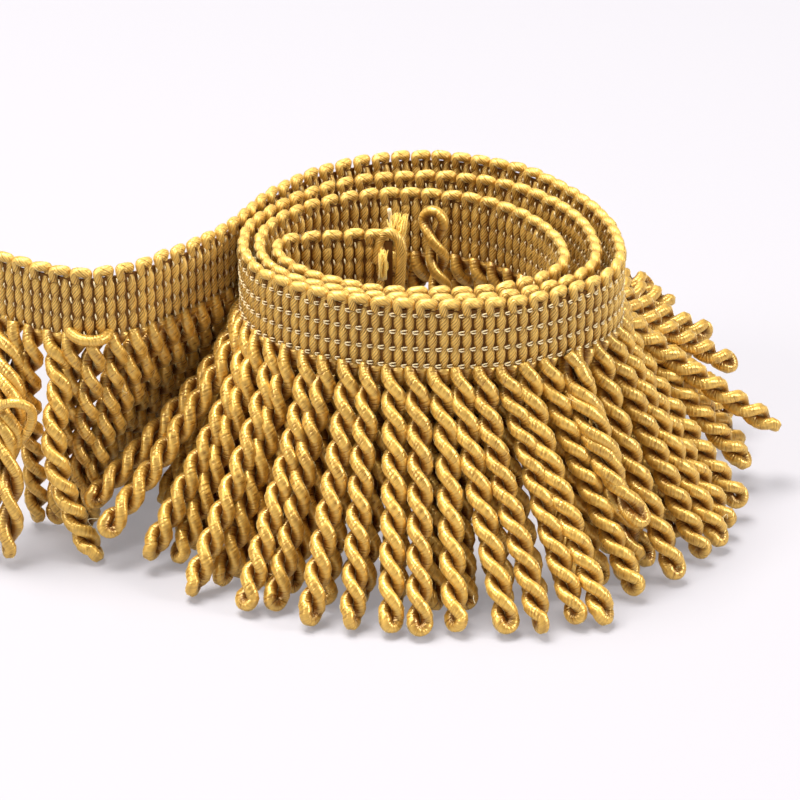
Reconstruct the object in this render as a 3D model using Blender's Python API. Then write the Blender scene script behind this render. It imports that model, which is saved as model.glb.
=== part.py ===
"""Bullion cord fringe, loosely wound into a standing roll of three turns with a loose tail.

The trim stands on its fringe. Seen from above it is wound clockwise towards the middle.
Two solids: the knitted heading band, and the comb of twisted bullion cords below it.
All sizes are in millimetres here and are turned into metres when the meshes are made.
"""
import math
import random
from collections import namedtuple

import bmesh
import bpy
import numpy as np

MILLIMETRE = 0.001

# Heading: two knitted cord ribs and one small top loop for each bullion.
PITCH = 5.4
HEADING_TOP = 75.0
HEADING_HEIGHT = 17.7
HEADING_THICKNESS = 2.6
LOOP_VALLEY = 1.1

# Comb: a thin spine under the heading, and one tooth for each bullion.
PIECE_GAP = 0.3
SPINE_HEIGHT = 1.6
BULLION_LENGTH = 61.0
TOOTH_ROOT_WIDTH = 3.8
TOOTH_THICKNESS = 2.4
BULLION_RADIUS = 3.1
STRAIGHT_START = 9.0
LEAN_SPREAD = 1.2
UNEVENNESS_SEED = 8

# A tooth's sections below its root: the share of the way to the foot, and the width there.
ToothSection = namedtuple("ToothSection", "part width")
TOOTH_SECTIONS = (
    ToothSection(0.22, 3.2),
    ToothSection(0.6, 4.0),
    ToothSection(1.0, 4.4),
)

# How far the second and third turns and the inner end have slipped down in the roll.
TURN_DROP = (0.0, 1.2, 2.2, 2.8)
# Share of the outer turn's lift that the feet keep at the start of each turn and at the end.
LIFT_SHARE = (1.0, 0.55, 0.25, 0.0)
# How much less the feet reach out with each turn, where they crowd under the turn outside.
CROWDING = 2.0

# One row for every 30 degrees of the roll, clockwise from its left side: the distance of each
# turn from the roll's axis, and how high the outer turn's feet are held off the surface.
RollRow = namedtuple("RollRow", "azimuth first second third lift")
ROLL = (
    RollRow(180, 49.8, 45.2, 41.4, 3.0),
    RollRow(150, 45.4, 40.2, 36.0, 9.0),
    RollRow(120, 47.0, 38.4, 30.6, 17.0),
    RollRow(90, 48.8, 37.2, 27.6, 22.0),
    RollRow(60, 46.4, 37.2, 26.4, 20.0),
    RollRow(30, 43.4, 37.4, 27.4, 13.0),
    RollRow(0, 45.6, 40.0, 31.0, 6.0),
    RollRow(-30, 51.0, 44.5, 37.0, 0.0),
    RollRow(-60, 48.4, 42.6, 36.4, 0.0),
    RollRow(-90, 45.2, 39.8, 34.2, 0.0),
    RollRow(-120, 45.8, 40.6, 35.4, 0.0),
    RollRow(-150, 48.0, 43.4, 38.4, 0.0),
)

# Loose lengths: where the heading runs, where its bullions' feet come down, and how high
# the feet are held.
LooseRow = namedtuple("LooseRow", "x y foot_x foot_y lift")
TAIL = (
    LooseRow(-112.0, -14.0, -117.0, -31.0, 0.0),
    LooseRow(-104.0, -19.0, -109.0, -36.5, 0.0),
    LooseRow(-94.0, -25.0, -98.0, -43.0, 0.0),
    LooseRow(-83.0, -29.0, -85.0, -49.0, 0.0),
    LooseRow(-72.5, -25.5, -81.5, -39.0, 0.0),
    LooseRow(-63.5, -17.5, -87.0, -26.0, 0.0),
    LooseRow(-55.5, -8.5, -88.5, -13.0, 1.0),
)
INNER_END = (
    LooseRow(-36.6, -12.0, -61.0, -20.0, 0.0),
    LooseRow(-37.4, -6.5, -60.0, -4.0, 0.0),
    LooseRow(-35.0, -2.0, -49.0, 10.0, 0.0),
    LooseRow(-30.5, -0.2, -37.0, 19.0, 0.0),
    LooseRow(-24.0, 0.9, -26.0, 24.0, 0.0),
    LooseRow(-16.5, 1.8, -14.5, 26.0, 0.0),
    LooseRow(-9.0, 0.6, -3.0, 26.0, 0.0),
)

GOLD_HEADING = (0.52, 0.34, 0.10)
GOLD_BULLION = (0.58, 0.38, 0.11)

# A place on the route: the heading's middle, how far its feet lie from it, how far the
# heading has slipped down, and how high the feet are held.
Knot = namedtuple("Knot", "x y out_x out_y drop lift")


def clear_scene():
    for thing in list(bpy.data.objects):
        bpy.data.objects.remove(thing, do_unlink=True)


def foot_reach(turn, drop, lift):
    """How far out a straight bullion's foot lies when it falls from the spine to its lift."""
    fall = HEADING_TOP - HEADING_HEIGHT - drop - BULLION_RADIUS - lift
    return math.sqrt(BULLION_LENGTH ** 2 - fall ** 2) - CROWDING * turn


def between(values, turn):
    """Reads a short row of values, one for each whole turn, at any point between them."""
    return float(np.interp(turn, range(len(values)), values))


def roll_knots():
    """The roll's knots, clockwise from its left side, three turns less the last row."""
    knots = []
    for step in range(3 * len(ROLL) - 1):
        row = ROLL[step % len(ROLL)]
        radius = (row.first, row.second, row.third)[step // len(ROLL)]
        turn = step / len(ROLL)
        drop = between(TURN_DROP, turn)
        lift = row.lift * between(LIFT_SHARE, turn)
        reach = foot_reach(turn, drop, lift)
        angle = math.radians(row.azimuth)
        away_x = math.cos(angle)
        away_y = math.sin(angle)
        knots.append(Knot(radius * away_x, radius * away_y,
                          reach * away_x, reach * away_y, drop, lift))
    return knots


def loose_knots(rows, drop):
    return [Knot(row.x, row.y, row.foot_x - row.x, row.foot_y - row.y, drop, row.lift)
            for row in rows]


def trim_knots():
    tail = loose_knots(TAIL, TURN_DROP[0])
    inner_end = loose_knots(INNER_END, TURN_DROP[-1])
    return tail + roll_knots() + inner_end


class Route:
    """A smooth curve through the knots, read by the distance along the heading."""

    def __init__(self, knots, step=0.5):
        points = np.array(knots, dtype=float)
        chord = np.hypot(*np.diff(points[:, :2], axis=0).T)
        places = np.concatenate(([0.0], np.cumsum(chord)))
        slopes = np.gradient(points, places, axis=0)
        reads = np.linspace(0.0, places[-1], int(places[-1] / step) + 1)
        span = np.clip(np.searchsorted(places, reads, side="right") - 1, 0, len(chord) - 1)
        width = chord[span][:, None]
        part = ((reads - places[span]) / chord[span])[:, None]
        self.rows = (
            points[span] * (1 + 2 * part) * (1 - part) ** 2
            + points[span + 1] * part ** 2 * (3 - 2 * part)
            + slopes[span] * width * part * (1 - part) ** 2
            + slopes[span + 1] * width * part ** 2 * (part - 1)
        )
        run = np.hypot(*np.diff(self.rows[:, :2], axis=0).T)
        self.places = np.concatenate(([0.0], np.cumsum(run)))
        self.length = float(self.places[-1])

    def read(self, place):
        return Knot(*(float(np.interp(place, self.places, column)) for column in self.rows.T))

    def along(self, place):
        """Level unit direction of the heading at a place."""
        ahead = self.read(min(place + 0.6, self.length))
        behind = self.read(max(place - 0.6, 0.0))
        run = math.hypot(ahead.x - behind.x, ahead.y - behind.y)
        return np.array([(ahead.x - behind.x) / run, (ahead.y - behind.y) / run, 0.0])


def outward(along):
    """The heading's outer side is on the left of its run towards the middle of the roll."""
    return np.array([-along[1], along[0], 0.0])


def band_corners(route, place, bottom, top):
    """Inner bottom, outer bottom, outer top and inner top corners of a band's section."""
    knot = route.read(place)
    side = outward(route.along(place)) * HEADING_THICKNESS / 2
    middle = np.array([knot.x, knot.y, -knot.drop])
    low = middle + (0.0, 0.0, bottom)
    high = middle + (0.0, 0.0, top)
    return [low - side, low + side, high + side, high - side]


def heading_rings(route, bullions):
    """Sections at each top loop's crown and at each valley between two loops."""
    rings = []
    for half in range(2 * bullions + 1):
        place = half * PITCH / 2
        top = HEADING_TOP if half % 2 else HEADING_TOP - LOOP_VALLEY
        rings.append(band_corners(route, place, HEADING_TOP - HEADING_HEIGHT, top))
    return rings


def turned_to(loop, ring):
    """The ring, started from the corner that twists the tooth's sides the least."""
    loop_middle = np.mean(loop, axis=0)
    ring_middle = np.mean(ring, axis=0)

    def twist(first):
        turned = ring[first:] + ring[:first]
        return sum(np.linalg.norm((low - ring_middle) - (high - loop_middle))
                   for high, low in zip(loop, turned))

    start = min(range(len(ring)), key=twist)
    return ring[start:] + ring[:start]


def tooth_rings(route, place, root_loop, lean_error):
    """Sections of one bullion's tooth below its root, down to its foot."""
    knot = route.read(place)
    reach = math.hypot(knot.out_x, knot.out_y)
    lean = math.atan2(knot.out_y, knot.out_x) + math.radians(lean_error)
    out = np.array([math.cos(lean), math.sin(lean), 0.0])
    across = np.array([out[1], -out[0], 0.0])
    grounded = knot.lift < BULLION_RADIUS / 2
    foot_height = 0.0 if grounded else BULLION_RADIUS + knot.lift
    root = np.mean(root_loop, axis=0)
    bend = root - (0.0, 0.0, STRAIGHT_START)
    foot = np.array([knot.x, knot.y, foot_height]) + out * reach
    rings = [root_loop]
    for part, width in TOOTH_SECTIONS:
        middle = root * (1 - part) ** 2 + 2 * bend * part * (1 - part) + foot * part ** 2
        run = (bend - root) * (1 - part) + (foot - bend) * part
        run = run / np.linalg.norm(run)
        face = np.cross(across, run)
        if part == 1.0 and grounded:
            face = out / max(abs(run[2]), 0.5)
        wide = across * width / 2
        thick = face * TOOTH_THICKNESS / 2
        ring = [middle - wide - thick, middle + wide - thick,
                middle + wide + thick, middle - wide + thick]
        rings.append(turned_to(rings[-1], ring))
    return rings[1:]


def add_ring(mesh, corners):
    return [mesh.verts.new(np.asarray(corner) * MILLIMETRE) for corner in corners]


def add_sides(mesh, first, second):
    for corner, point in enumerate(first):
        following = (corner + 1) % len(first)
        mesh.faces.new((point, first[following], second[following], second[corner]))


def heading_mesh(route, bullions):
    mesh = bmesh.new()
    rings = [add_ring(mesh, corners) for corners in heading_rings(route, bullions)]
    for first, second in zip(rings, rings[1:]):
        add_sides(mesh, first, second)
    mesh.faces.new(rings[0])
    mesh.faces.new(rings[-1])
    return mesh


def fringe_mesh(route, bullions):
    """The spine runs under the whole heading; each tooth grows out of its bottom face."""
    mesh = bmesh.new()
    unevenness = random.Random(UNEVENNESS_SEED)
    top = HEADING_TOP - HEADING_HEIGHT - PIECE_GAP
    bottom = top - SPINE_HEIGHT
    previous = None
    for number in range(bullions):
        place = (number + 0.5) * PITCH
        lean_error = unevenness.uniform(-LEAN_SPREAD, LEAN_SPREAD)
        edges = [add_ring(mesh, band_corners(route, place + side, bottom, top))
                 for side in (-TOOTH_ROOT_WIDTH / 2, TOOTH_ROOT_WIDTH / 2)]
        if previous is None:
            mesh.faces.new(edges[0])
        else:
            add_sides(mesh, previous, edges[0])
        left, right = edges
        for corner in (1, 2, 3):
            following = (corner + 1) % 4
            mesh.faces.new((left[corner], left[following], right[following], right[corner]))
        loop = [left[0], right[0], right[1], left[1]]
        root_loop = [np.array(corner.co) / MILLIMETRE for corner in loop]
        for corners in tooth_rings(route, place, root_loop, lean_error):
            ring = add_ring(mesh, corners)
            add_sides(mesh, loop, ring)
            loop = ring
        mesh.faces.new(loop)
        previous = right
    mesh.faces.new(previous)
    return mesh


def satin_cord(name, colour, roughness):
    material = bpy.data.materials.new(name)
    material.use_nodes = True
    shader = material.node_tree.nodes["Principled BSDF"]
    shader.inputs["Base Color"].default_value = (*colour, 1.0)
    shader.inputs["Roughness"].default_value = roughness
    shader.inputs["Metallic"].default_value = 0.0
    material.diffuse_color = (*colour, 1.0)
    return material


def add_object(name, mesh, material):
    bmesh.ops.triangulate(mesh, faces=mesh.faces[:])
    bmesh.ops.recalc_face_normals(mesh, faces=mesh.faces[:])
    data = bpy.data.meshes.new(name)
    mesh.to_mesh(data)
    mesh.free()
    data.materials.append(material)
    thing = bpy.data.objects.new(name, data)
    bpy.context.scene.collection.objects.link(thing)
    return thing


def centre_on_floor(things):
    """Moves the meshes together so that the middle of the model's base is the origin."""
    corners = np.array([vertex.co for thing in things for vertex in thing.data.vertices])
    low = corners.min(axis=0)
    high = corners.max(axis=0)
    shift = np.array([(low[0] + high[0]) / 2, (low[1] + high[1]) / 2, low[2]])
    for thing in things:
        for vertex in thing.data.vertices:
            vertex.co = np.array(vertex.co) - shift


def main():
    clear_scene()
    route = Route(trim_knots())
    bullions = int(route.length / PITCH)
    heading = add_object("heading", heading_mesh(route, bullions),
                         satin_cord("heading_cord", GOLD_HEADING, 0.45))
    fringe = add_object("fringe", fringe_mesh(route, bullions),
                        satin_cord("bullion_cord", GOLD_BULLION, 0.4))
    centre_on_floor([heading, fringe])


main()
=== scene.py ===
# %% [markdown]
# # A gold bullion fringe, loosely wound
# A bullion fringe is one long shiny cord, laid up and down thousands of times. Its upright runs
# are knitted side by side into a heading, and every pair of runs goes on below the heading as a
# doubled and twisted "bullion". It could be made from one repeated mesh with an array, but the
# real thing gets its life from small differences, so here every run of cord is its own tube,
# swept along a path worked out from the heading's route.

# %% Tools and the frame
import math
import random
from collections import namedtuple

import bpy
import numpy as np
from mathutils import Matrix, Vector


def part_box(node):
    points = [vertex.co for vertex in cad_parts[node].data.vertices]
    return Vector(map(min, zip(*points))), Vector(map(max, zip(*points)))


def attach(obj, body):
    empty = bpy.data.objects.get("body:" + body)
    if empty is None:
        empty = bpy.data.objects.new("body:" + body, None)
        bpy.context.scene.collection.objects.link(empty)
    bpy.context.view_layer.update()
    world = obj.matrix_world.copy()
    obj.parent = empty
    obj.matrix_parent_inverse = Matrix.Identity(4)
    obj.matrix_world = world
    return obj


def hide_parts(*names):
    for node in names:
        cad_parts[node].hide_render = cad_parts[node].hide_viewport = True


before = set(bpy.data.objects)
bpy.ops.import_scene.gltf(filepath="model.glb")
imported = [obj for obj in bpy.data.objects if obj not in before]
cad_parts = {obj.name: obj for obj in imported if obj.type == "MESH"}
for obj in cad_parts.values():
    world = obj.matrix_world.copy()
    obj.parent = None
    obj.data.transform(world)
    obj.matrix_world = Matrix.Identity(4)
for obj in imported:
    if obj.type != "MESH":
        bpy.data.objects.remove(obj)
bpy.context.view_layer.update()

# %% [markdown]
# ## Sizes
# A trimmings maker thinks in millimetres, so everything below is in millimetres and becomes
# metres only when a mesh is made. The cord's thickness drives the rest: two ribs side by side
# set the spacing of the top loops and of the bullions.

# %% Sizes in millimetres
MILLIMETRE = 0.001
PITCH = 5.4
RIB_SPACING = PITCH / 2
HEADING_TOP = 75.0
HEADING_HEIGHT = 17.7
RIB_FOOT = HEADING_TOP - HEADING_HEIGHT - 0.2
STITCH_ROWS = (70.9, 66.5, 62.1, 57.8)
BULLION_LENGTH = 61.0
BULLION_RADIUS = 3.1
STRAIGHT_START = 9.0
print("heading", HEADING_HEIGHT, "mm tall, one bullion every", PITCH, "mm")

# %% [markdown]
# ## The route of the heading
# Seen from above the trim comes in from a loose tail and winds clockwise towards the middle.
# A route drawn point by point would be hard to change, so the roll is a short table: one row
# for every 30 degrees, with the distance of each turn from the roll's axis. The two loose ends
# have rows of their own. A smooth curve through the rows gives the heading's place anywhere.

# %% Tables of the roll and its loose ends
TURN_DROP = (0.0, 1.2, 2.2, 2.8)
LIFT_SHARE = (1.0, 0.55, 0.25, 0.0)
CROWDING = 2.0

RollRow = namedtuple("RollRow", "azimuth first second third lift")
ROLL = (
    RollRow(180, 49.8, 45.2, 41.4, 3.0),
    RollRow(150, 45.4, 40.2, 36.0, 9.0),
    RollRow(120, 47.0, 38.4, 30.6, 17.0),
    RollRow(90, 48.8, 37.2, 27.6, 22.0),
    RollRow(60, 46.4, 37.2, 26.4, 20.0),
    RollRow(30, 43.4, 37.4, 27.4, 13.0),
    RollRow(0, 45.6, 40.0, 31.0, 6.0),
    RollRow(-30, 51.0, 44.5, 37.0, 0.0),
    RollRow(-60, 48.4, 42.6, 36.4, 0.0),
    RollRow(-90, 45.2, 39.8, 34.2, 0.0),
    RollRow(-120, 45.8, 40.6, 35.4, 0.0),
    RollRow(-150, 48.0, 43.4, 38.4, 0.0),
)
LooseRow = namedtuple("LooseRow", "x y foot_x foot_y lift")
TAIL = (
    LooseRow(-112.0, -14.0, -117.0, -31.0, 0.0),
    LooseRow(-104.0, -19.0, -109.0, -36.5, 0.0),
    LooseRow(-94.0, -25.0, -98.0, -43.0, 0.0),
    LooseRow(-83.0, -29.0, -85.0, -49.0, 0.0),
    LooseRow(-72.5, -25.5, -81.5, -39.0, 0.0),
    LooseRow(-63.5, -17.5, -87.0, -26.0, 0.0),
    LooseRow(-55.5, -8.5, -88.5, -13.0, 1.0),
)
INNER_END = (
    LooseRow(-36.6, -12.0, -61.0, -20.0, 0.0),
    LooseRow(-37.4, -6.5, -60.0, -4.0, 0.0),
    LooseRow(-35.0, -2.0, -49.0, 10.0, 0.0),
    LooseRow(-30.5, -0.2, -37.0, 19.0, 0.0),
    LooseRow(-24.0, 0.9, -26.0, 24.0, 0.0),
    LooseRow(-16.5, 1.8, -14.5, 26.0, 0.0),
    LooseRow(-9.0, 0.6, -3.0, 26.0, 0.0),
)
Knot = namedtuple("Knot", "x y out_x out_y drop lift")


def foot_reach(turn, drop, lift):
    """How far out a straight bullion's foot lies when it falls from the heading to its lift."""
    fall = HEADING_TOP - HEADING_HEIGHT - drop - BULLION_RADIUS - lift
    return math.sqrt(BULLION_LENGTH ** 2 - fall ** 2) - CROWDING * turn


def roll_knots():
    knots = []
    for step in range(3 * len(ROLL) - 1):
        row = ROLL[step % len(ROLL)]
        radius = (row.first, row.second, row.third)[step // len(ROLL)]
        turn = step / len(ROLL)
        drop = float(np.interp(turn, range(4), TURN_DROP))
        lift = row.lift * float(np.interp(turn, range(4), LIFT_SHARE))
        reach = foot_reach(turn, drop, lift)
        angle = math.radians(row.azimuth)
        away_x = math.cos(angle)
        away_y = math.sin(angle)
        knots.append(Knot(radius * away_x, radius * away_y,
                          reach * away_x, reach * away_y, drop, lift))
    return knots


def loose_knots(rows, drop):
    return [Knot(row.x, row.y, row.foot_x - row.x, row.foot_y - row.y, drop, row.lift)
            for row in rows]


# %% A curve through the tables
class Route:
    """A smooth curve through the knots, read by the distance along the heading."""

    def __init__(self, knots, step=0.5):
        points = np.array(knots, dtype=float)
        chord = np.hypot(*np.diff(points[:, :2], axis=0).T)
        places = np.concatenate(([0.0], np.cumsum(chord)))
        slopes = np.gradient(points, places, axis=0)
        reads = np.linspace(0.0, places[-1], int(places[-1] / step) + 1)
        span = np.clip(np.searchsorted(places, reads, side="right") - 1, 0, len(chord) - 1)
        width = chord[span][:, None]
        part = ((reads - places[span]) / chord[span])[:, None]
        self.rows = (
            points[span] * (1 + 2 * part) * (1 - part) ** 2
            + points[span + 1] * part ** 2 * (3 - 2 * part)
            + slopes[span] * width * part * (1 - part) ** 2
            + slopes[span + 1] * width * part ** 2 * (part - 1)
        )
        run = np.hypot(*np.diff(self.rows[:, :2], axis=0).T)
        self.places = np.concatenate(([0.0], np.cumsum(run)))
        self.length = float(self.places[-1])

    def read(self, place):
        return Knot(*(float(np.interp(place, self.places, column)) for column in self.rows.T))

    def along(self, place):
        ahead = self.read(min(place + 0.6, self.length))
        behind = self.read(max(place - 0.6, 0.0))
        run = math.hypot(ahead.x - behind.x, ahead.y - behind.y)
        return np.array([(ahead.x - behind.x) / run, (ahead.y - behind.y) / run, 0.0])

    def on_heading(self, place, height, outward):
        """A point on the heading: its place along it, its height, and how far outside it is."""
        knot = self.read(place)
        along = self.along(place)
        return np.array([knot.x - along[1] * outward, knot.y + along[0] * outward,
                         height - knot.drop])


route = Route(loose_knots(TAIL, TURN_DROP[0]) + roll_knots()
              + loose_knots(INNER_END, TURN_DROP[-1]))
BULLIONS = int(route.length / PITCH)
print(BULLIONS, "bullions on", round(route.length), "mm of heading")

# %% [markdown]
# ## Where the trim stands
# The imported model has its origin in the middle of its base. The route's own zero is the roll's
# axis, so the two are lined up by comparing the heading's lowest corner in both.

# %% Line up with the frame
HEADING_THICKNESS = 2.6


def heading_corner():
    """The lowest x and y that the heading band reaches, in the route's millimetres."""
    edges = [route.on_heading(half * PITCH / 2, 0.0, side * HEADING_THICKNESS / 2)
             for half in range(2 * BULLIONS + 1) for side in (-1, 1)]
    return np.min(edges, axis=0)


heading_low = np.array(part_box("heading")[0])
SHIFT = np.array([*(heading_low[:2] - heading_corner()[:2] * MILLIMETRE), 0.0])
print("shift to the frame, mm:", (SHIFT / MILLIMETRE).round(2))


def placed(points):
    """Route millimetres to metres in the frame."""
    return np.asarray(points, dtype=float) * MILLIMETRE + SHIFT


# %% [markdown]
# ## Camera, floor and light
# A long lens from a good arm's length keeps the roll's upright lines nearly parallel. The light
# is a studio's: a big soft panel above, one at the left front, one at the right, and a bright
# room around, so that every strand gets one long soft highlight. The floor glows a little, as a
# lit backdrop does, which keeps the shadows pale.

# %% Camera
CAMERA_PLACE = (-7.1, -709.9, 371.7)
CAMERA_DOWN = 26.0
LENS = 139.5

camera_data = bpy.data.cameras.new("camera")
camera_data.lens = LENS
camera_data.sensor_width = 36.0
camera_data.clip_end = 50.0
camera = bpy.data.objects.new("camera", camera_data)
camera.location = placed(CAMERA_PLACE)
camera.rotation_euler = (math.radians(90.0 - CAMERA_DOWN), 0.0, 0.0)
bpy.context.scene.collection.objects.link(camera)
bpy.context.scene.camera = camera


# %% Floor and lights
def new_material(name):
    material = bpy.data.materials.new(name)
    material.use_nodes = True
    return material, material.node_tree, material.node_tree.nodes["Principled BSDF"]


FLOOR_GLOW = 0.25
floor_material, _, floor_shader = new_material("studio_floor")
floor_shader.inputs["Base Color"].default_value = (0.302, 0.292, 0.309, 1.0)
floor_shader.inputs["Emission Color"].default_value = (0.98, 0.955, 1.0, 1.0)
floor_shader.inputs["Emission Strength"].default_value = FLOOR_GLOW
floor_shader.inputs["Roughness"].default_value = 0.6
floor_shader.inputs["Specular IOR Level"].default_value = 0.1
floor_mesh = bpy.data.meshes.new("studio_floor")
FLOOR_HALF = 6.0
floor_mesh.from_pydata(
    [(-FLOOR_HALF, -FLOOR_HALF, 0.0), (FLOOR_HALF, -FLOOR_HALF, 0.0),
     (FLOOR_HALF, FLOOR_HALF, 0.0), (-FLOOR_HALF, FLOOR_HALF, 0.0)], [], [(0, 1, 2, 3)])
floor_mesh.materials.append(floor_material)
floor = bpy.data.objects.new("studio_floor", floor_mesh)
floor.location.z = -0.0002
bpy.context.scene.collection.objects.link(floor)

SoftBox = namedtuple("SoftBox", "name place width height power colour")
SOFT_BOXES = (
    SoftBox("soft_top", (-0.45, 0.25, 2.00), 1.10, 1.10, 80.0, (1.0, 0.99, 0.97)),
    SoftBox("soft_left", (-1.80, -1.00, 1.45), 0.80, 0.80, 24.0, (1.0, 0.985, 0.96)),
    SoftBox("soft_right", (1.90, -0.60, 1.10), 0.70, 0.70, 34.0, (1.0, 0.99, 0.98)),
)
for box in SOFT_BOXES:
    light = bpy.data.lights.new(box.name, "AREA")
    light.shape = "RECTANGLE"
    light.size = box.width
    light.size_y = box.height
    light.energy = box.power
    light.color = box.colour
    lamp = bpy.data.objects.new(box.name, light)
    lamp.location = box.place
    aim = np.array((0.0, 0.0, 0.03)) - np.array(box.place)
    turn = math.atan2(aim[1], aim[0])
    tilt = math.atan2(math.hypot(aim[0], aim[1]), -aim[2])
    lamp.rotation_euler = (tilt, 0.0, turn - math.pi / 2)
    bpy.context.scene.collection.objects.link(lamp)

ROOM_LIGHT = 0.34
room = bpy.data.worlds.new("studio_room")
room.use_nodes = True
room.node_tree.nodes["Background"].inputs["Color"].default_value = (0.96, 0.96, 1.0, 1.0)
room.node_tree.nodes["Background"].inputs["Strength"].default_value = ROOM_LIGHT
bpy.context.scene.world = room
bpy.context.scene.view_settings.view_transform = "Standard"
print("camera and", len(SOFT_BOXES), "soft boxes set")

# %% [markdown]
# ## The look of wrapped cord
# The cord is a soft core wrapped in fine satin filament. Close up it shows fine lines running
# almost straight round it, and from any distance one bright line along its crest. The lines
# could be modelled as geometry, but at a third of a millimetre they are better as bump. Each
# cord carries its own unrolled map, the length along it and the distance round it in metres, so
# one node group draws the wrapping at its true size on ribs, loops and bullions alike.


# %% Node group: filament wrapping
WANDER_SCALE = 420.0
STREAKS_PER_METRE = 2300.0
STREAK_BREAKS_PER_METRE = 260.0
PATCH_SCALE = 260.0


def socket(group, name, kind, way, value=None):
    made = group.interface.new_socket(name=name, in_out=way, socket_type=kind)
    if value is not None:
        made.default_value = value
    return made


def maths(tree, operation, first, second=None, third=None):
    """A Math node whose inputs are numbers or sockets; returns its output."""
    node = tree.nodes.new("ShaderNodeMath")
    node.operation = operation
    for number, value in enumerate((first, second, third)):
        if value is None:
            continue
        if isinstance(value, (int, float)):
            node.inputs[number].default_value = value
        else:
            tree.links.new(value, node.inputs[number])
    return node.outputs[0]


def filament_group():
    group = bpy.data.node_groups.new("filament_wrap", "ShaderNodeTree")
    socket(group, "Unrolled", "NodeSocketVector", "INPUT")
    socket(group, "Wraps per metre", "NodeSocketFloat", "INPUT", 1500.0)
    socket(group, "Slope", "NodeSocketFloat", "INPUT", 0.3)
    socket(group, "Unevenness", "NodeSocketFloat", "INPUT", 0.9)
    socket(group, "Line contrast", "NodeSocketFloat", "INPUT", 0.7)
    socket(group, "Height", "NodeSocketFloat", "OUTPUT")
    socket(group, "Filament shade", "NodeSocketFloat", "OUTPUT")
    enter = group.nodes.new("NodeGroupInput")
    leave = group.nodes.new("NodeGroupOutput")
    split = group.nodes.new("ShaderNodeSeparateXYZ")
    group.links.new(enter.outputs["Unrolled"], split.inputs[0])
    wander = group.nodes.new("ShaderNodeTexNoise")
    wander.inputs["Scale"].default_value = WANDER_SCALE
    wander.inputs["Detail"].default_value = 1.0
    group.links.new(enter.outputs["Unrolled"], wander.inputs["Vector"])
    slanted = maths(group, "MULTIPLY_ADD", split.outputs[1], enter.outputs["Slope"],
                    split.outputs[0])
    wraps = maths(group, "MULTIPLY", slanted, enter.outputs["Wraps per metre"])
    shifted = maths(group, "MULTIPLY_ADD", wander.outputs["Fac"], enter.outputs["Unevenness"],
                    wraps)
    wave = maths(group, "SINE", maths(group, "MULTIPLY", shifted, 2.0 * math.pi))
    ridge = maths(group, "MULTIPLY_ADD", wave, 0.5, 0.5)
    stretch = group.nodes.new("ShaderNodeCombineXYZ")
    group.links.new(maths(group, "MULTIPLY", slanted, STREAKS_PER_METRE), stretch.inputs[0])
    group.links.new(maths(group, "MULTIPLY", split.outputs[1], STREAK_BREAKS_PER_METRE),
                    stretch.inputs[1])
    streak = group.nodes.new("ShaderNodeTexNoise")
    streak.inputs["Scale"].default_value = 1.0
    streak.inputs["Detail"].default_value = 1.0
    group.links.new(stretch.outputs[0], streak.inputs["Vector"])
    height = maths(group, "MULTIPLY_ADD", streak.outputs["Fac"], 2.2,
                   maths(group, "MULTIPLY", ridge, 0.4))
    group.links.new(height, leave.inputs["Height"])
    patch = group.nodes.new("ShaderNodeTexNoise")
    patch.inputs["Scale"].default_value = PATCH_SCALE
    patch.inputs["Detail"].default_value = 3.0
    group.links.new(enter.outputs["Unrolled"], patch.inputs["Vector"])
    # Filament shade is partly painted shade, darker in the grooves between wraps and where the
    # streaks lie low in the bump, and partly random tone from the patches.
    streaked = maths(group, "MULTIPLY_ADD", streak.outputs["Fac"], 2.3,
                     maths(group, "MULTIPLY", patch.outputs["Fac"], 0.7))
    lines = maths(group, "MULTIPLY", maths(group, "SUBTRACT", ridge, 0.5),
                  enter.outputs["Line contrast"])
    shade = maths(group, "ADD", lines, maths(group, "SUBTRACT", streaked, 1.0))
    group.links.new(shade, leave.inputs["Filament shade"])
    return group


filament_wrap = filament_group()
print("node group:", filament_wrap.name)

# %% [markdown]
# ## Materials
# Viscose satin is not a metal, but its highlight takes the thread's gold, so the specular tint
# is warm. Its fibres run round the cord, which stretches the highlight along it: that is what
# the anisotropy with a tangent round the cord does. Each cord also carries a "tint" value: a
# small tone of its own, because no two runs of cord lie with quite the same lustre, plus painted
# shade that darkens the crevices between strands and the gaps between ribs, and lightens the
# tops of the loops.

# %% Gold cord materials
CordLook = namedtuple("CordLook", "name dark light wraps slope lines bump rough")
CORD_LOOKS = (
    CordLook("heading_gimp", (0.22, 0.068, 0.005), (0.81, 0.485, 0.10), 1050.0, -1.3, 1.0, 1.0,
             0.36),
    CordLook("bullion_gimp", (0.20, 0.055, 0.003), (0.83, 0.49, 0.092), 1300.0, -0.2, 0.12, 0.8,
             0.33),
)
BUMP_DEPTH = 0.00012


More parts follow.
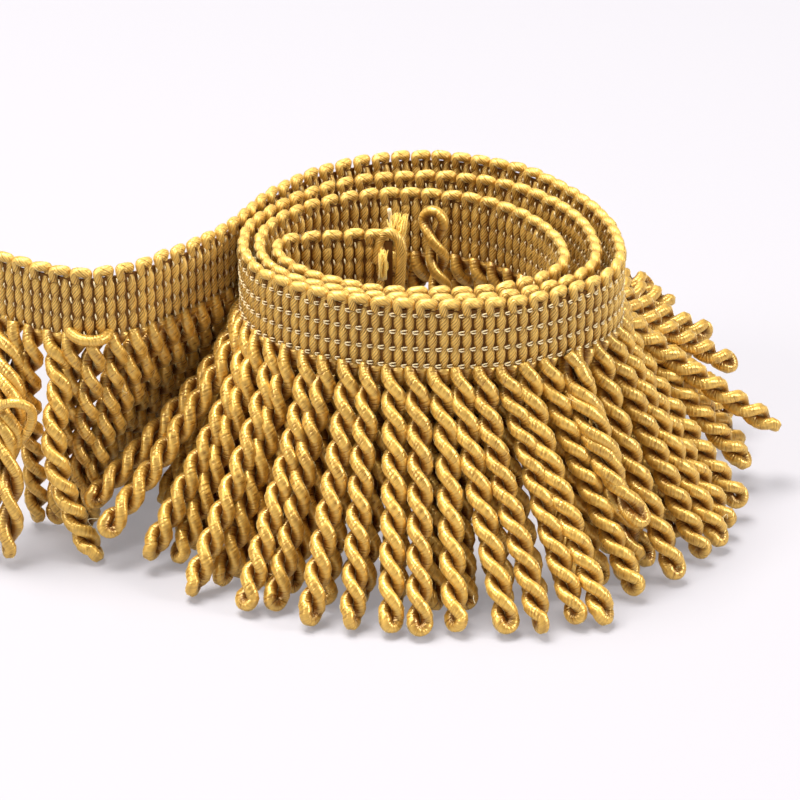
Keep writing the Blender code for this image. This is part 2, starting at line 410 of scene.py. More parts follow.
def cord_material(look):
    material, tree, shader = new_material(look.name)
    unrolled = tree.nodes.new("ShaderNodeUVMap")
    unrolled.uv_map = "Unrolled"
    wrap = tree.nodes.new("ShaderNodeGroup")
    wrap.node_tree = filament_wrap
    wrap.inputs["Wraps per metre"].default_value = look.wraps
    wrap.inputs["Slope"].default_value = look.slope
    wrap.inputs["Line contrast"].default_value = look.lines
    tree.links.new(unrolled.outputs["UV"], wrap.inputs["Unrolled"])
    # The tint attribute holds each cord's random tone plus painted shade, darker in crevices and
    # gaps and lighter on loop tops.
    own = tree.nodes.new("ShaderNodeAttribute")
    own.attribute_name = "tint"
    mix_amount = maths(tree, "ADD", own.outputs["Fac"],
                       maths(tree, "MULTIPLY_ADD", wrap.outputs["Filament shade"], 0.6, -0.15))
    shade = tree.nodes.new("ShaderNodeMix")
    shade.data_type = "RGBA"
    shade.inputs["A"].default_value = (*look.dark, 1.0)
    shade.inputs["B"].default_value = (*look.light, 1.0)
    tree.links.new(mix_amount, shade.inputs["Factor"])
    tree.links.new(shade.outputs["Result"], shader.inputs["Base Color"])
    rough = maths(tree, "MULTIPLY_ADD", wrap.outputs["Filament shade"], 0.14, look.rough - 0.07)
    tree.links.new(rough, shader.inputs["Roughness"])
    bump = tree.nodes.new("ShaderNodeBump")
    bump.inputs["Strength"].default_value = look.bump
    bump.inputs["Distance"].default_value = BUMP_DEPTH
    tree.links.new(wrap.outputs["Height"], bump.inputs["Height"])
    tree.links.new(bump.outputs["Normal"], shader.inputs["Normal"])
    shader.inputs["Metallic"].default_value = 0.30
    shader.inputs["IOR"].default_value = 1.8
    shader.inputs["Specular IOR Level"].default_value = 1.0
    shader.inputs["Specular Tint"].default_value = (1.0, 0.92, 0.46, 1.0)
    shader.inputs["Anisotropic"].default_value = 0.6
    shader.inputs["Sheen Weight"].default_value = 0.9
    shader.inputs["Sheen Roughness"].default_value = 0.22
    shader.inputs["Sheen Tint"].default_value = (1.0, 0.86, 0.42, 1.0)
    run = tree.nodes.new("ShaderNodeTangent")
    run.direction_type = "UV_MAP"
    run.uv_map = "Unrolled"
    tree.links.new(run.outputs["Tangent"], shader.inputs["Tangent"])
    return material


heading_gimp, bullion_gimp = (cord_material(look) for look in CORD_LOOKS)


# %% Thread and hair materials
def thread_material(name, dark, light, rough, sheen):
    material, tree, shader = new_material(name)
    unrolled = tree.nodes.new("ShaderNodeUVMap")
    unrolled.uv_map = "Unrolled"
    wrap = tree.nodes.new("ShaderNodeGroup")
    wrap.node_tree = filament_wrap
    wrap.inputs["Wraps per metre"].default_value = 1500.0
    wrap.inputs["Slope"].default_value = -1.2
    tree.links.new(unrolled.outputs["UV"], wrap.inputs["Unrolled"])
    shade = tree.nodes.new("ShaderNodeMix")
    shade.data_type = "RGBA"
    shade.inputs["A"].default_value = (*dark, 1.0)
    shade.inputs["B"].default_value = (*light, 1.0)
    tree.links.new(wrap.outputs["Filament shade"], shade.inputs["Factor"])
    tree.links.new(shade.outputs["Result"], shader.inputs["Base Color"])
    bump = tree.nodes.new("ShaderNodeBump")
    bump.inputs["Strength"].default_value = 0.5
    bump.inputs["Distance"].default_value = 0.00006
    tree.links.new(wrap.outputs["Height"], bump.inputs["Height"])
    tree.links.new(bump.outputs["Normal"], shader.inputs["Normal"])
    shader.inputs["Roughness"].default_value = rough
    shader.inputs["Specular Tint"].default_value = (1.0, 0.88, 0.55, 1.0)
    shader.inputs["Sheen Weight"].default_value = sheen
    shader.inputs["Sheen Tint"].default_value = (1.0, 0.9, 0.6, 1.0)
    return material


ivory_thread = thread_material("ivory_thread", (0.78, 0.58, 0.26), (1.0, 0.92, 0.66), 0.45, 0.3)
# Painted shade: the dark brown of the band seen in the gaps between the ribs.
gap_shade_thread = thread_material("gap_shade_thread", (0.08, 0.03, 0.005), (0.18, 0.07, 0.014), 0.9, 0.0)
stray_filament = thread_material("stray_filament", (0.7, 0.6, 0.36), (0.92, 0.85, 0.6), 0.5, 0.2)
cut_core = thread_material("cut_core", (0.92, 0.55, 0.06), (1.0, 0.78, 0.22), 0.5, 0.8)
print("materials:", [material.name for material in bpy.data.materials])

# %% [markdown]
# ## Sweeping a strand
# Blender's curves can sweep a round section, but they give no map in real units and no way to
# pinch or swell one place. So a strand is swept by hand: a ring of points is carried along the
# path without spinning, the rings are joined by four-sided faces, and both ends are closed.
# A bullion's strand is two fine gimps lying side by side, so its section has a groove down its
# outer side, and its rings are turned to keep that groove facing away from the bullion's middle.


# %% The strand sweeper
def carried_frames(path):
    """Tangent and two cross directions at every point of a path, carried without spin."""
    tangents = np.gradient(path, axis=0)
    tangents /= np.linalg.norm(tangents, axis=1)[:, None]
    first = np.cross(tangents[0], (0.0, 0.0, 1.0))
    if np.linalg.norm(first) < 0.2:
        first = np.cross(tangents[0], (0.0, 1.0, 0.0))
    side = first / np.linalg.norm(first)
    sides = np.empty_like(path)
    for step, tangent in enumerate(tangents):
        side = side - tangent * side.dot(tangent)
        side = side / math.sqrt(side.dot(side))
        sides[step] = side
    return tangents, sides, np.cross(tangents, sides)


LOWEST_POINT = 0.00005


class Strands:
    """Gathers swept strands into the arrays of one mesh."""

    def __init__(self, name, material, slot, sides):
        self.name = name
        self.material = material
        self.slot = slot
        self.sides = sides
        self.points = []
        self.faces = []
        self.maps = []
        self.tints_and_painted_shade = []
        self.count = 0

    def sweep(self, path, radius, tint=0.5, inward=None, section=None, shade=0.0):
        path = np.asarray(path, dtype=float)
        rings = len(path)
        radius = np.broadcast_to(np.asarray(radius, dtype=float), (rings,))
        tangent, side, other = carried_frames(path)
        if inward is not None:
            side = inward - tangent * (inward * tangent).sum(axis=1)[:, None]
            side /= np.linalg.norm(side, axis=1)[:, None]
            other = np.cross(tangent, side)
        shape = np.ones(self.sides) if section is None else np.array(section)
        angles = np.arange(self.sides) * (2.0 * math.pi / self.sides)
        ring = ((shape * np.cos(angles))[None, :, None] * side[:, None, :]
                + (shape * np.sin(angles))[None, :, None] * other[:, None, :])
        points = path[:, None, :] + radius[:, None, None] * ring
        self.points.append(points.reshape(-1, 3))
        corner = np.arange(self.sides)
        following = (corner + 1) % self.sides
        row = (np.arange(rings - 1) * self.sides)[:, None]
        quads = np.stack([row + corner, row + following, row + self.sides + following,
                          row + self.sides + corner], axis=-1).reshape(-1, 4) + self.count
        run = np.concatenate(([0.0], np.cumsum(np.linalg.norm(np.diff(path, axis=0), axis=1))))
        girth = 2.0 * math.pi * float(radius.mean())
        start = np.broadcast_to(run[:-1, None], (rings - 1, self.sides))
        end = np.broadcast_to(run[1:, None], (rings - 1, self.sides))
        near = np.broadcast_to(corner / self.sides * girth, (rings - 1, self.sides))
        far = near + girth / self.sides
        maps = np.stack([np.stack([start, near], -1), np.stack([start, far], -1),
                         np.stack([end, far], -1), np.stack([end, near], -1)], axis=2)
        self.faces.append(quads)
        self.maps.append(maps.reshape(-1, 2))
        # Each strand's random tone plus the painted shade given for each ring corner go into the
        # tint attribute.
        tints_and_painted_shade = 0.5 + 0.22 * (tint - 0.5) + np.broadcast_to(shade, (rings, self.sides))
        self.tints_and_painted_shade.append(tints_and_painted_shade.ravel())
        self.count += rings * self.sides

    def caps(self):
        """The end faces of every strand, as corner rows of their own."""
        rows = []
        base = 0
        for points in self.points:
            size = len(points)
            rows.append(base + np.arange(self.sides)[::-1])
            rows.append(base + size - self.sides + np.arange(self.sides))
            base += size
        return np.array(rows)

    def make(self):
        points = placed(np.concatenate(self.points))
        points[:, 2] = np.maximum(points[:, 2], LOWEST_POINT)
        quads = np.concatenate(self.faces)
        caps = self.caps()
        mesh = bpy.data.meshes.new(self.name)
        mesh.vertices.add(len(points))
        mesh.vertices.foreach_set("co", points.astype(np.float32).ravel())
        corners = np.concatenate([quads.ravel(), caps.ravel()])
        sizes = np.concatenate([np.full(len(quads), 4), np.full(len(caps), self.sides)])
        mesh.loops.add(len(corners))
        mesh.loops.foreach_set("vertex_index", corners.astype(np.int32))
        mesh.polygons.add(len(sizes))
        starts = np.concatenate(([0], np.cumsum(sizes)[:-1]))
        mesh.polygons.foreach_set("loop_start", starts.astype(np.int32))
        mesh.polygons.foreach_set("use_smooth", np.ones(len(sizes), dtype=bool))
        unrolled = mesh.uv_layers.new(name="Unrolled")
        cap_map = np.zeros((caps.size, 2))
        maps = np.concatenate([np.concatenate(self.maps) * MILLIMETRE, cap_map])
        unrolled.data.foreach_set("uv", maps.astype(np.float32).ravel())
        tint = mesh.attributes.new("tint", "FLOAT", "POINT")
        tint.data.foreach_set("value", np.concatenate(self.tints_and_painted_shade).astype(np.float32))
        mesh.update(calc_edges=True)
        mesh.validate()
        mesh.materials.append(self.material)
        piece = bpy.data.objects.new(self.name, mesh)
        bpy.context.scene.collection.objects.link(piece)
        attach(piece, "root")
        triangles = 2 * len(quads) + len(caps) * (self.sides - 2)
        print(self.name, "strands", len(self.points), "triangles", triangles)
        return piece


# %% [markdown]
# ## The heading: ribs and top loops
# Each top loop and the two ribs under it are one run of cord, like a hairpin. The ribs swell
# between the rows of stitching and are pinched where the thread draws them in, and the loop
# leans a little across the edge. Sweeping whole hairpins keeps the cord unbroken from rib to
# loop, which a separate band of loops would not.

# %% Ribs and loops
RIB_RADIUS = 1.30
PINCH = 0.42
PINCH_REACH = 0.85
LOOP_RADIUS = 1.30
LOOP_CORNER = 1.06
LOOP_WIDEN = 0.42
LOOP_RISE = 2.42
LOOP_SPRING = 71.30
ARCH_STEPS = 12
RIB_SIDES = 10
LOOP_LEAN = 0.62
LOOP_SQUARE = 0.30
chance = random.Random(5)


def rib_heights():
    """Ring heights up one rib: close together at each pinch, wide apart between."""
    heights = [RIB_FOOT]
    for row in STITCH_ROWS:
        heights += [row - 1.5, row - 0.75, row, row + 0.75, row + 1.5, row + 2.2]
    return np.array(sorted(height for height in heights if RIB_FOOT <= height < LOOP_SPRING))


def rib_radius(heights, swell):
    pinch = sum(np.exp(-((heights - row) / PINCH_REACH) ** 2) for row in STITCH_ROWS)
    return RIB_RADIUS * swell - PINCH * pinch


def leg_painted_shade(heights):
    """Ribs get painted shade in the gaps at both sides, and are also darker where the stitches
    pinch them.
    """
    around = np.cos(np.arange(RIB_SIDES) * (2.0 * math.pi / RIB_SIDES)) ** 2
    pinched = sum(np.exp(-((heights - row) / 0.6) ** 2) for row in STITCH_ROWS)
    return 0.14 - 0.42 * around[None, :] - 0.28 * pinched[:, None]


def hairpin(middle):
    """Path, thickness, inward side and painted shade of two ribs and their top loop, at one place.
    """
    heights = rib_heights()
    swell = chance.uniform(0.95, 1.04)
    rise = LOOP_RISE + chance.uniform(-0.25, 0.03)
    lean = LOOP_LEAN * chance.uniform(0.5, 1.3)
    tip = chance.uniform(-0.2, 0.2)
    first = RIB_SPACING / 2 + chance.uniform(-0.08, 0.08)
    second = RIB_SPACING / 2 + chance.uniform(-0.08, 0.08)
    thickness = rib_radius(heights, swell)
    path = [(middle - first, height, 0.0) for height in heights]
    inward = [(1.0, 0.0)] * len(heights)
    radius = list(thickness)
    for step in range(ARCH_STEPS + 1):
        turn = math.pi * (1.0 - step / ARCH_STEPS)
        across = math.copysign(abs(math.cos(turn)) ** LOOP_SQUARE, math.cos(turn))
        up = math.sin(turn) ** LOOP_SQUARE if 0 < step < ARCH_STEPS else 0.0
        path.append((middle + across * (RIB_SPACING / 2 + LOOP_WIDEN * up),
                     LOOP_SPRING + rise * up + tip * across * up, lean * math.cos(turn)))
        inward.append((-math.cos(turn), -math.sin(turn)))
        radius.append(LOOP_RADIUS - (LOOP_RADIUS - LOOP_CORNER) * abs(across) ** 4)
    path += [(middle + second, height, 0.0) for height in heights[::-1]]
    inward += [(-1.0, 0.0)] * len(heights)
    radius += list(thickness[::-1])
    painted_leg_shade = leg_painted_shade(heights)
    # Painted shade on the loop: darker underneath, facing into the hole, and lighter on its top.
    top = np.cos(np.arange(RIB_SIDES) * (2.0 * math.pi / RIB_SIDES))
    painted_loop_shade = np.broadcast_to(0.10 - 0.22 * top - 0.35 * (top > 0.5), (ARCH_STEPS + 1, RIB_SIDES))
    return path, np.array(radius), inward, np.concatenate([painted_leg_shade, painted_loop_shade, painted_leg_shade[::-1]])


def on_route(path):
    return [route.on_heading(min(max(place, 0.0), route.length), height, out)
            for place, height, out in path]


heading_strands = Strands("heading_ribs", heading_gimp, "heading_cord", RIB_SIDES)
for number in range(BULLIONS + 1):
    path, radius, inward, shade = hairpin(number * PITCH)
    forward = route.along(min(max(number * PITCH, 0.0), route.length))
    inward = np.array([forward * level + (0.0, 0.0, rise) for level, rise in inward])
    kept = slice(len(path) // 2, None) if number == 0 else slice(None)
    heading_strands.sweep(on_route(path[kept]), radius[kept], chance.random(), inward[kept],
                          None, shade[kept])
heading = heading_strands.make()

# %% [markdown]
# ## Dark band behind the ribs
# One thin dark strip down the middle of the heading shows only in the gaps between the ribs.
# It stops the light, and its dark colour is painted shade for those gaps.

# %% Dark band behind the ribs
BAND_HALF = 0.35
BAND_LOW = RIB_FOOT + 0.4
BAND_HIGH = LOOP_SPRING + 0.6
BAND_STEPS = 4 * BULLIONS
band_corners = []
for step in range(BAND_STEPS + 1):
    at = step * route.length / BAND_STEPS
    band_corners += on_route([(at, BAND_LOW, -BAND_HALF), (at, BAND_LOW, BAND_HALF),
                              (at, BAND_HIGH, BAND_HALF), (at, BAND_HIGH, -BAND_HALF)])
band_faces = [(0, 3, 2, 1), tuple(4 * BAND_STEPS + corner for corner in range(4))]
for step in range(BAND_STEPS):
    for corner in range(4):
        beside = (corner + 1) % 4
        band_faces.append((4 * step + corner, 4 * step + beside,
                           4 * step + 4 + beside, 4 * step + 4 + corner))
band_mesh = bpy.data.meshes.new("gap_shade_band")
band_mesh.from_pydata([tuple(corner) for corner in placed(band_corners)], [], band_faces)
band_mesh.materials.append(gap_shade_thread)
gap_shade_band = bpy.data.objects.new("gap_shade_band", band_mesh)
bpy.context.scene.collection.objects.link(gap_shade_band)
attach(gap_shade_band, "root")
print("ground band of", len(band_faces), "faces")

# %% [markdown]
# ## Chain stitch
# A knitting machine draws an ivory thread through the ribs in four rows. On the outer face each
# link shows as a small C lying over a groove, its two arms reaching over the next rib with a
# dark hole between them. On the inner face only a small bright lump shows at each rib.

# %% Stitch rows
Stroke = namedtuple("Stroke", "along up out thick")
OUTER_LINK = (
    Stroke(-0.90, 0.40, 0.86, 0.12),
    Stroke(-0.46, 0.40, 1.14, 0.18),
    Stroke(0.12, 0.37, 1.28, 0.20),
    Stroke(0.56, 0.20, 1.16, 0.18),
    Stroke(0.72, 0.00, 0.98, 0.14),
    Stroke(0.56, -0.20, 1.16, 0.18),
    Stroke(0.12, -0.37, 1.28, 0.20),
    Stroke(-0.46, -0.40, 1.14, 0.18),
    Stroke(-0.90, -0.40, 0.86, 0.12),
)
INNER_LUMP = (
    Stroke(0.34, -0.75, -0.95, 0.10),
    Stroke(0.26, -0.25, -1.12, 0.20),
    Stroke(0.18, 0.25, -1.12, 0.20),
    Stroke(0.12, 0.70, -0.95, 0.10),
)
stitch_strands = Strands("chain_stitch", ivory_thread, "heading_cord", 5)


def stitch(strokes, place, row, size):
    path = [(place + stroke.along * size, row + stroke.up * size, stroke.out)
            for stroke in strokes]
    thick = np.array([stroke.thick for stroke in strokes])
    stitch_strands.sweep(on_route(path), thick * size, chance.random())


for rib in range(1, 2 * BULLIONS - 1):
    groove = rib * RIB_SPACING
    for row in STITCH_ROWS:
        level = row + chance.uniform(-0.14, 0.14)
        stitch(OUTER_LINK, groove + chance.uniform(-0.1, 0.1), level, chance.uniform(0.76, 0.94))
        stitch(INNER_LUMP, groove, level, chance.uniform(0.7, 1.15))
chain_stitch = stitch_strands.make()

# %% [markdown]
# ## Bullions
# Below the heading two neighbouring ribs become one bullion: a single run of cord that goes
# down, turns round in a small loop at the end, and comes back up, with both halves twisted
# round each other to the left. Its centre line is a soft curve from the heading to its foot.
# Two strands half a turn apart wind round that line, and one half circle joins them at the end.

# %% Bullion paths
STRAND_RADIUS = 1.5
STRAND_SECTION = (1.26, 1.1, 1.0, 1.0, 1.05, 1.06, 0.90, 1.06, 1.05, 1.0, 1.0, 1.1)
# Painted shade per ring corner: darkest on the strand's inner side, in the crevice against the
# other strand, a little dark in its outer groove, lighter on its outer sides.
STRAND_PAINTED_SHADE = (-1.0, -0.85, -0.5, -0.15, 0.1, 0.15, -0.1, 0.15, 0.1, -0.15, -0.5, -0.85)
STRAND_OFFSET = 1.78
LAY = 14.2
LOOP_HALF_WIDTH = 1.8
END_LOOP_LENGTH = 3.1
FOOT_OVERRUN = 2.3
PATH_STEP = 1.12


def evenly(path, step):
    """The same path with its points a set distance apart."""
    path = np.asarray(path, dtype=float)
    run = np.concatenate(([0.0], np.cumsum(np.linalg.norm(np.diff(path, axis=0), axis=1))))
    places = np.linspace(0.0, run[-1], max(int(run[-1] / step), 4) + 1)
    return np.stack([np.interp(places, run, column) for column in path.T], axis=1)


def soft_curve(points, steps=80):
    """A smooth curve through a few points, for listed centre lines."""
    points = np.asarray(points, dtype=float)
    run = np.concatenate(([0.0], np.cumsum(np.linalg.norm(np.diff(points, axis=0), axis=1))))
    slopes = np.gradient(points, run, axis=0)
    reads = np.linspace(0.0, run[-1], steps)
    span = np.clip(np.searchsorted(run, reads, side="right") - 1, 0, len(points) - 2)
    width = (run[span + 1] - run[span])[:, None]
    part = (reads - run[span])[:, None] / width
    return (points[span] * (1 + 2 * part) * (1 - part) ** 2
            + points[span + 1] * part ** 2 * (3 - 2 * part)
            + slopes[span] * width * part * (1 - part) ** 2
            + slopes[span + 1] * width * part ** 2 * (part - 1))


def bullion_root(number):
    knot = route.read((number + 0.5) * PITCH)
    return np.array([knot.x, knot.y, RIB_FOOT + 0.1 - knot.drop])


def bullion_foot(number, lean_error, reach_error, lift_error):
    knot = route.read((number + 0.5) * PITCH)
    reach = math.hypot(knot.out_x, knot.out_y) + reach_error
    lean = math.atan2(knot.out_y, knot.out_x) + math.radians(lean_error)
    return np.array([knot.x + reach * math.cos(lean), knot.y + reach * math.sin(lean),
                     BULLION_RADIUS + knot.lift + lift_error])


def hanging_line(root, foot, bow):
    """A soft curve that leaves the heading straight down and swings out to the foot."""
    bend = root - (0.0, 0.0, STRAIGHT_START)
    foot = foot + (foot - bend) * (FOOT_OVERRUN / np.linalg.norm(foot - bend))
    reach = foot - root
    across = np.array([reach[1], -reach[0], 0.0]) / math.hypot(reach[0], reach[1])
    part = np.linspace(0.0, 1.0, 60)[:, None]
    line = root * (1 - part) ** 2 + 2 * bend * part * (1 - part) + foot * part ** 2
    return line + across * bow * np.sin(part * math.pi) ** 2


def bullion_cord(line, first_side, lay, phase=0.0, loop_width=LOOP_HALF_WIDTH, spread=None):
    """One run of cord: down the line, round its end loop and back up, twisted on itself."""
    line = evenly(line, PATH_STEP)
    tangents = np.gradient(line, axis=0)
    tangents /= np.linalg.norm(tangents, axis=1)[:, None]
    side = first_side
    sides = np.empty_like(line)
    for step, tangent in enumerate(tangents):
        side = side - tangent * side.dot(tangent)
        side = side / math.sqrt(side.dot(side))
        sides[step] = side
    others = np.cross(tangents, sides)
    run = np.arange(len(line)) * np.linalg.norm(line[1] - line[0])
    kept = run <= run[-1] - END_LOOP_LENGTH
    run = run[kept]
    turn = phase - 2.0 * math.pi * np.maximum(run - 1.0 * (1.0 - np.exp(-run / 2.0)), 0.0) / lay
    if spread is None:
        spread = ((0.0, RIB_SPACING / 2), (5.0, STRAND_OFFSET),
                  (run[-1] - 2.5, STRAND_OFFSET), (run[-1], loop_width))
    offset = np.interp(run, *zip(*spread))
    swing = (np.cos(turn)[:, None] * sides[kept] + np.sin(turn)[:, None] * others[kept])
    down = line[kept] + swing * offset[:, None]
    back = line[kept] - swing * offset[:, None]
    arc = np.linspace(0.0, math.pi, 11)[1:-1]
    last = line[kept][-1]
    loop = (last + np.cos(arc)[:, None] * swing[-1] * offset[-1]
            + np.sin(arc)[:, None] * tangents[kept][-1] * (offset[-1] + 0.35))
    loop_out = np.cos(arc)[:, None] * swing[-1] + np.sin(arc)[:, None] * tangents[kept][-1]
    outward = np.concatenate([swing, loop_out, -swing[::-1]])
    return np.concatenate([down, loop, back[::-1]]), -outward


# %% [markdown]
# ## Bullions that were pulled about
# Most bullions fall where the table of the roll puts them, with a little chance added. Those
# along the front and at the loose tail are the ones a viewer follows with the eye, so each has
# a row of its own: its number along the heading, and where its foot came to rest.

# %% Feet that were pulled about
Pulled = namedtuple("Pulled", "number foot_x foot_y lift bow")
PULLED = (
    Pulled(3, -98.6, -19.5, 0.0, -2.0),
    Pulled(5, -93.6, -20.5, 0.0, 0.5),
    Pulled(6, -88.6, -23.0, 0.0, -0.8),
    Pulled(7, -86.0, -26.0, 0.0, 0.6),
    Pulled(8, -87.0, -20.5, 0.0, 0.0),
    Pulled(9, -88.0, -15.0, 0.0, -0.5),
    Pulled(10, -88.5, -10.0, 0.0, 0.4),
    Pulled(11, -87.5, -5.0, 0.0, -0.4),
    Pulled(12, -86.0, -0.5, 0.0, 0.3),
    Pulled(13, -84.0, 4.0, 0.0, 0.0),
    Pulled(14, -82.5, 8.5, 0.5, 0.4),
    Pulled(15, -81.0, 13.0, 1.5, 0.0),
    Pulled(33, 61.0, 74.0, 22.0, -1.0),
    Pulled(34, 66.0, 68.0, 19.8, 1.2),
    Pulled(35, 75.0, 52.0, 17.5, -1.0),
    Pulled(37, 80.9, 37.6, 15.0, 1.0),
    Pulled(42, 88.8, 5.9, 12.6, -1.5),
    Pulled(47, 60.0, -49.5, 0.2, 0.8),
    Pulled(50, 49.4, -57.5, 0.5, 0.5),
    Pulled(51, 41.3, -70.5, 0.0, 1.0),
    Pulled(52, 34.8, -71.5, 0.4, -0.6),
    Pulled(53, 26.2, -75.0, 0.2, 0.8),
    Pulled(54, 18.1, -75.0, 0.2, 0.4),
    Pulled(55, 6.2, -74.2, 0.3, -1.2),
    Pulled(56, -2.4, -76.0, 0.0, -0.8),
    Pulled(57, -9.2, -74.6, 0.0, -0.6),
    Pulled(58, -18.5, -72.8, 0.0, 0.6),
    Pulled(59, -28.4, -71.0, 0.2, -0.4),
    Pulled(60, -37.0, -64.0, 0.0, 1.0),
    Pulled(61, -43.9, -64.5, 0.2, -0.6),
    Pulled(62, -50.2, -51.5, 0.0, 0.8),
    Pulled(63, -57.0, -57.0, 0.0, -0.8),
    Pulled(64, -61.3, -41.0, 0.4, 0.6),
    Pulled(65, -67.9, -43.5, 2.6, -0.8),
    Pulled(66, -78.6, -41.0, 7.6, 0.8),
    Pulled(67, -82.8, -34.0, 11.6, -0.6),
)
pulled = {row.number: row for row in PULLED}
BUNDLED = (1, 2, 4, 48, 49, BULLIONS - 1)


# %% Groups of bullions along the trim
Group = namedtuple("Group", "name first last pull_in")


def nearest_number(x, y):
    row = int(np.argmin(np.hypot(route.rows[:, 0] - x, route.rows[:, 1] - y)))
    return int(route.places[row] / PITCH)


STARTS = [0] + [nearest_number(-row, 0.0) for row in (ROLL[0].first, ROLL[0].second,
                                                      ROLL[0].third)] + [BULLIONS]
NAMES = ("bullions_tail", "bullions_outer", "bullions_second", "bullions_inner")
GROUPS = [Group(name, first, last, pull_in) for name, first, last, pull_in in zip(
    NAMES, STARTS, STARTS[1:], (0.0, 0.0, 3.0, 5.0))]
print(GROUPS)

luck = random.Random(8)
bullion_pieces = []
for group in GROUPS:
    strands = Strands(group.name, bullion_gimp, "bullion_cord", len(STRAND_SECTION))
    for number in range(group.first, group.last):
        if number in BUNDLED:
            continue
        foot = bullion_foot(number, luck.gauss(0.0, 2.0), luck.uniform(-2.0, 0.8) - group.pull_in,
                            luck.uniform(-0.2, 0.6))
        bow = luck.uniform(-1.3, 1.3)
        if number in pulled:
            row = pulled[number]
            foot = np.array([row.foot_x, row.foot_y, BULLION_RADIUS + row.lift])
            bow = row.bow
        line = hanging_line(bullion_root(number), foot, bow)
        cord, inward = bullion_cord(line, route.along((number + 0.5) * PITCH),
                                    LAY * luck.uniform(0.93, 1.07), luck.gauss(0.0, 0.15),
                                    LOOP_HALF_WIDTH * luck.uniform(0.85, 1.1))
        strands.sweep(cord, STRAND_RADIUS * luck.uniform(0.96, 1.03), luck.random(), inward,
                      STRAND_SECTION, STRAND_PAINTED_SHADE)
    bullion_pieces.append(strands.make())

# %% [markdown]
# ## Bullions tangled together
# Handling has twisted two pairs of neighbours into ropes of four strands. Each rope has one
# centre line. Its two bullions go round it wide apart, a quarter turn from each other, and part
# again at the end, where each goes on to its own foot.

# %% Ropes and strays
ROPE_OFFSET = 2.7
ROPE_LAY = 21.0
tangled = Strands("bullions_tangled", bullion_gimp, "bullion_cord", len(STRAND_SECTION))


def tangle(number, points, phase, leave):
    """One bullion of a rope: from its own root on to the rope's line, then to its own foot."""
    line = soft_curve([bullion_root(number), *points])
    length = float(np.linalg.norm(np.diff(line, axis=0), axis=1).sum())
    spread = ((0.0, RIB_SPACING / 2), (9.0, ROPE_OFFSET), (leave, ROPE_OFFSET),
              (min(leave + 5.0, length - 4.5), STRAND_OFFSET),
              (length - END_LOOP_LENGTH, LOOP_HALF_WIDTH))
    cord, inward = bullion_cord(line, route.along((number + 0.5) * PITCH), ROPE_LAY, phase,
                                spread=spread)
    tangled.sweep(cord, STRAND_RADIUS, luck.random(), inward, STRAND_SECTION, STRAND_PAINTED_SHADE)


FRONT_ROPE = [(35.6, -38.5, 49.5), (38.2, -42.2, 42.0), (42.0, -46.2, 33.0)]
tangle(48, FRONT_ROPE + [(47.0, -50.0, 23.5), (52.2, -52.5, 17.5)], 0.4, 24.0)
tangle(49, FRONT_ROPE + [(45.0, -49.0, 24.5), (48.2, -46.5, 13.0), (51.5, -46.2, 4.8)],
       0.4 + math.pi / 2, 30.0)
TAIL_ROPE = [(-102.6, -23.0, 50.0), (-102.5, -28.5, 41.0), (-102.9, -33.0, 32.0)]
tangle(1, TAIL_ROPE + [(-107.6, -37.0, 18.0), (-110.6, -38.5, 2.4)], 0.0, 27.0)
tangle(2, TAIL_ROPE + [(-102.2, -38.5, 18.0), (-103.6, -40.0, 2.0)], math.pi / 2, 27.0)

BRIGHT_TAIL = [(-90.4, -27.5, 50.0), (-90.0, -29.2, 43.0), (-91.2, -31.2, 36.0),
               (-91.6, -33.7, 28.0), (-90.2, -35.6, 21.0), (-88.0, -36.0, 13.5),
               (-85.2, -36.8, 6.6), (-82.0, -38.4, 1.8), (-80.9, -38.9, 0.6)]
cord, inward = bullion_cord(soft_curve([bullion_root(4), *BRIGHT_TAIL]),
                            route.along(4.5 * PITCH), 13.0, 0.1, 1.7)
tangled.sweep(cord, STRAND_RADIUS * 1.04, 0.9, inward, STRAND_SECTION, STRAND_PAINTED_SHADE)

LAST_ONE = [(-10.5, 2.0, 44.0), (-5.0, 4.0, 35.5), (1.0, 5.5, 40.0), (3.0, 5.6, 52.0),
            (2.2, 5.2, 63.0), (1.0, 5.0, 75.7)]
cord, inward = bullion_cord(soft_curve([bullion_root(BULLIONS - 1), *LAST_ONE]),
                            route.along((BULLIONS - 0.5) * PITCH), 17.0, 2.9, 2.8)
tangled.sweep(cord, STRAND_RADIUS * 0.85, 0.8, inward, STRAND_SECTION, STRAND_PAINTED_SHADE)


# %% Single loose strands
Loose = namedtuple("Loose", "radius points")
LOOSE_STRANDS = (
    Loose(1.2, ((-108.6, -31.5, 36.0), (-104.6, -34.6, 40.0), (-101.9, -36.4, 42.3),
                (-99.6, -37.2, 42.8), (-97.7, -36.8, 42.0), (-96.5, -35.4, 39.8),
                (-96.5, -34.4, 37.0), (-97.6, -33.8, 34.0), (-99.4, -33.0, 31.2),
                (-101.4, -31.6, 29.0))),
    Loose(1.42, ((-87.6, -25.6, 59.2), (-86.8, -29.0, 57.9), (-84.6, -31.0, 57.0),
                 (-81.3, -31.7, 56.7), (-79.0, -31.0, 56.8), (-77.8, -28.8, 57.2),
                 (-78.0, -26.0, 58.0))),
)
for loose in LOOSE_STRANDS:
    tangled.sweep(evenly(soft_curve(loose.points), 0.8), loose.radius, 1.0)
tangled_bullions = tangled.make()

# %% [markdown]
# ## The cut inner end
# At the inner end the heading was cut, and its last run of cord has sprung up and over. The cut
# shows the yellow core of the cord as two small brushes, with one end of the stitching thread
# beside them. Each brush is a few dozen thin filaments that spread from one root.

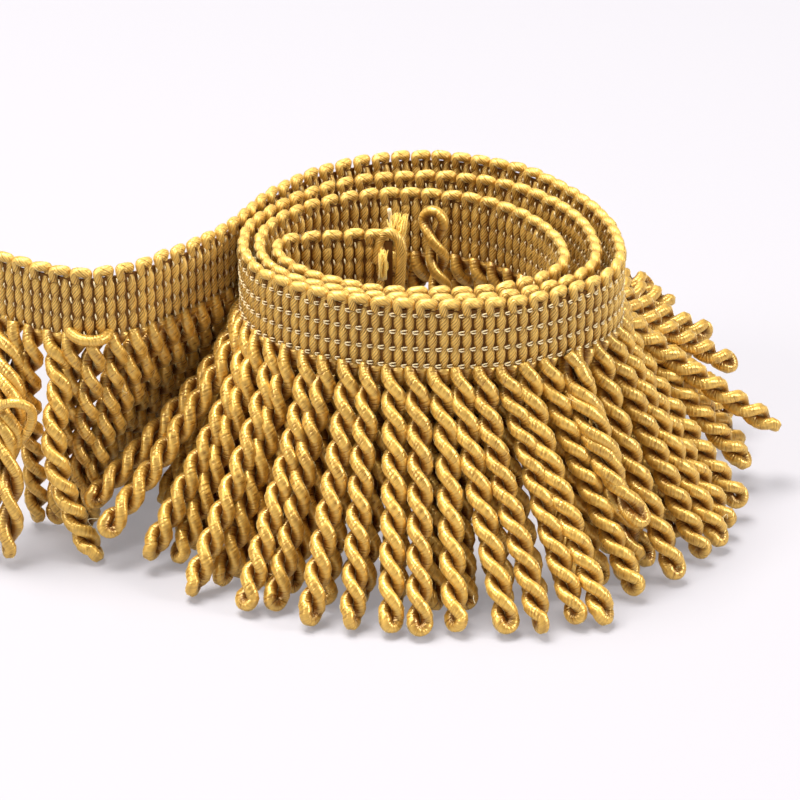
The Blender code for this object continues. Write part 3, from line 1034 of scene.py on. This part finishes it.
# %% Sprung cord, brushes and thread end
end_strands = Strands("inner_end_cord", heading_gimp, "heading_cord", RIB_SIDES)
SPRUNG = ((-12.8, 1.2, 63.0), (-12.5, 1.4, 67.0), (-11.9, 1.4, 69.6), (-10.3, 1.2, 71.2),
          (-8.1, 0.7, 70.5), (-6.8, 0.2, 67.3), (-6.9, 0.0, 63.0), (-7.2, 0.0, 58.5),
          (-7.6, 0.4, 54.0))
end_strands.sweep(evenly(soft_curve(SPRUNG), 0.8), 1.38, 0.9)
inner_end_cord = end_strands.make()

Brush = namedtuple("Brush", "root_x root_y root_z tip_x tip_y tip_z spread count")
BRUSHES = (
    Brush(-8.4, 1.8, 68.0, -7.0, 2.8, 75.0, 1.6, 90),
    Brush(-11.4, -1.2, 60.0, -11.4, -1.5, 67.0, 0.7, 80),
)
core_strands = Strands("cut_core", cut_core, "heading_cord", 4)
HAIR_RADII = [0.26, 0.27, 0.26, 0.23, 0.18, 0.08]
for brush in BRUSHES:
    root = np.array([brush.root_x, brush.root_y, brush.root_z])
    tip = np.array([brush.tip_x, brush.tip_y, brush.tip_z])
    for _ in range(brush.count):
        start = root + [luck.gauss(0.0, 0.35) for _ in range(3)]
        end = tip + [luck.gauss(0.0, brush.spread * 0.7), luck.gauss(0.0, 0.6),
                     luck.uniform(-2.6, 0.8)]
        middle = (start + end) / 2 + [luck.gauss(0.0, 0.35) for _ in range(3)]
        core_strands.sweep(soft_curve([start, middle, end], len(HAIR_RADII)), HAIR_RADII,
                           luck.random())
cut_brushes = core_strands.make()

end_thread = Strands("thread_end", ivory_thread, "heading_cord", 6)
end_thread.sweep(soft_curve([(-8.9, 2.4, 68.5), (-9.2, 2.8, 72.5), (-9.8, 2.6, 77.0)], 9), 0.5)
thread_end = end_thread.make()

# %% [markdown]
# ## Stray filaments
# A few loose filaments stand off any handled satin cord. At a tenth of a millimetre they are
# seen only against the dark gaps and the floor.

# %% Stray filaments
HAIRS = 70
hairs = Strands("stray_filaments", stray_filament, "bullion_cord", 4)
for _ in range(HAIRS):
    number = luck.randrange(BULLIONS)
    root = bullion_root(number)
    foot = bullion_foot(number, luck.uniform(-6.0, 6.0), luck.uniform(-3.0, 2.5), 2.0)
    start = root + (foot - root) * luck.uniform(0.15, 0.98)
    way = np.array([luck.gauss(0.0, 1.0), luck.gauss(0.0, 1.0), luck.gauss(0.0, 0.5)])
    way = way / np.linalg.norm(way) * luck.uniform(2.0, 5.0)
    bent = start + way * 0.5 + [luck.gauss(0.0, 0.8) for _ in range(3)]
    end = start + way + [0.0, 0.0, -0.8]
    hairs.sweep(soft_curve([start, bent, end], 9), 0.05)
stray_filaments = hairs.make()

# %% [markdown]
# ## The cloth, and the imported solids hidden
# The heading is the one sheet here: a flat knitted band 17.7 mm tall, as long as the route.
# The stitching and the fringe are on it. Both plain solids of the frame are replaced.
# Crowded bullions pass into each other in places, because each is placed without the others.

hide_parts("heading")
for piece in bullion_pieces:
    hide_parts("fringe")
